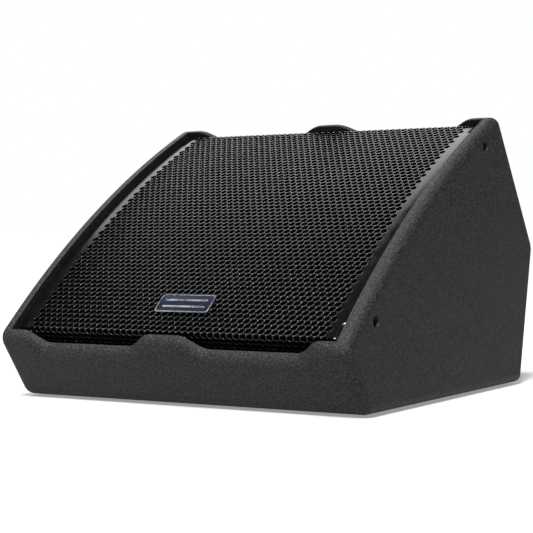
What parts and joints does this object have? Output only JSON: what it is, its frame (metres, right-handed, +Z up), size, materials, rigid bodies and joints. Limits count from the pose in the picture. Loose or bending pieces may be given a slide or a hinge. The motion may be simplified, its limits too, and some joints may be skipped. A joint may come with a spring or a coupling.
{
  "type": "stage monitor wedge",
  "caption": "Low sloping floor loudspeaker with an arched perforated grille between two side panels, wavy finger lips front and rear, and a rear control panel with a carrying handle.",
  "frame": {"origin": "on the floor under the feet, at the middle of the bounding box", "axes": "+X to the right seen from the sloping front, +Y from the front lip to the rear, +Z up"},
  "size_m": [0.56, 0.5768, 0.3934],
  "materials": {
    "cabinet_paint": "black textured impact paint on birch plywood",
    "grille_steel": "satin black powder coat",
    "foam_black": "open cell foam, matt",
    "badge_metal": "dark enamel with a bright rim",
    "rubber": "matt",
    "black_steel": "black oxide",
    "zinc": "zinc plate",
    "cast_aluminium": "black coated casting",
    "paper_cone": "coated paper",
    "cloth": "doped cloth",
    "magnet": "ferrite and steel",
    "copper": "enamelled copper winding",
    "moulded_black": "fine matt moulding",
    "anodised": "black anodised",
    "board_green": "solder mask",
    "lens_green": "clear tinted",
    "wadding": "loose fibre"
  },
  "bodies": {
    "cabinet": {"side_panel_right": "cabinet_paint", "side_panel_left": "cabinet_paint", "front_lip_panel": "cabinet_paint", "rear_upper_panel": "cabinet_paint", "rear_lower_panel": "cabinet_paint", "bottom_panel": "cabinet_paint", "baffle": "cabinet_paint", "foot_front_left": "rubber", "foot_front_right": "rubber", "foot_rear_left": "rubber", "foot_rear_right": "rubber", "handle_grip": "rubber", "damping_pad": "wadding", "grille": "grille_steel", "grille_foam": "foam_black", "woofer_gasket": "foam_black", "badge_plate": "badge_metal", "grille_screw_lower_left": "black_steel", "grille_nut_lower_left": "zinc", "grille_screw_lower_right": "black_steel", "grille_nut_lower_right": "zinc", "grille_screw_upper_left": "black_steel", "grille_nut_upper_left": "zinc", "grille_screw_upper_right": "black_steel", "grille_nut_upper_right": "zinc", "port_tube_left": "moulded_black", "port_tube_right": "moulded_black", "horn_flare": "moulded_black", "input_socket": "moulded_black", "link_socket": "moulded_black", "mains_inlet": "moulded_black", "mains_outlet": "moulded_black", "rocker_frame": "moulded_black", "handle_cup": "moulded_black", "woofer_frame": "cast_aluminium", "hf_driver_cover": "cast_aluminium", "woofer_surround": "cloth", "woofer_spider": "cloth", "power_transformer": "copper", "magnet_top_plate": "black_steel", "magnet_back_plate": "black_steel", "level_pot": "black_steel", "magnet_ring": "magnet", "amp_panel": "anodised", "heat_sink": "anodised", "amp_circuit_board": "board_green", "status_lens": "lens_green", "amp_panel_screw_1": "black_steel", "amp_panel_screw_2": "black_steel", "amp_panel_screw_3": "black_steel", "amp_panel_screw_4": "black_steel"},
    "power_rocker": {"power_rocker": "moulded_black"},
    "level_knob": {"level_knob": "moulded_black", "level_shaft": "zinc"},
    "push_button_1": {"push_button_1": "moulded_black"},
    "push_button_2": {"push_button_2": "moulded_black"},
    "input_latch": {"input_latch": "zinc"},
    "woofer_cone": {"woofer_cone": "paper_cone", "voice_coil": "copper"},
    "hf_diaphragm": {"hf_diaphragm": "zinc"}
  },
  "joints": [
    {"name": "power_switch", "type": "hinge", "parent": "cabinet", "child": "power_rocker", "pos_m": [0.05, 0.25038, 0.07077], "axis": [1, 0, 0], "range_deg": [0, 14]},
    {"name": "level_turn", "type": "hinge", "parent": "cabinet", "child": "level_knob", "pos_m": [0.054, 0.27535, 0.13072], "axis": [0, 0.9749, -0.2225], "range_deg": [-150, 150]},
    {"name": "button_1_press", "type": "slide", "parent": "cabinet", "child": "push_button_1", "axis": [0, -0.9749, 0.2225], "range_m": [0, 0.0018], "stiffness_N_per_m": 250},
    {"name": "button_2_press", "type": "slide", "parent": "cabinet", "child": "push_button_2", "axis": [0, -0.9749, 0.2225], "range_m": [0, 0.0018], "stiffness_N_per_m": 250},
    {"name": "latch_press", "type": "slide", "parent": "cabinet", "child": "input_latch", "axis": [0, -0.9749, 0.2225], "range_m": [0, 0.0015], "stiffness_N_per_m": 400},
    {"name": "cone_travel", "type": "slide", "parent": "cabinet", "child": "woofer_cone", "axis": [0, -0.5592, 0.829], "range_m": [-0.006, 0.006], "stiffness_N_per_m": 6000, "deforming": ["woofer_surround", "woofer_spider"]},
    {"name": "diaphragm_travel", "type": "slide", "parent": "cabinet", "child": "hf_diaphragm", "axis": [0, -0.5592, 0.829], "range_m": [-0.0004, 0.0004], "stiffness_N_per_m": 4000}
  ]
}
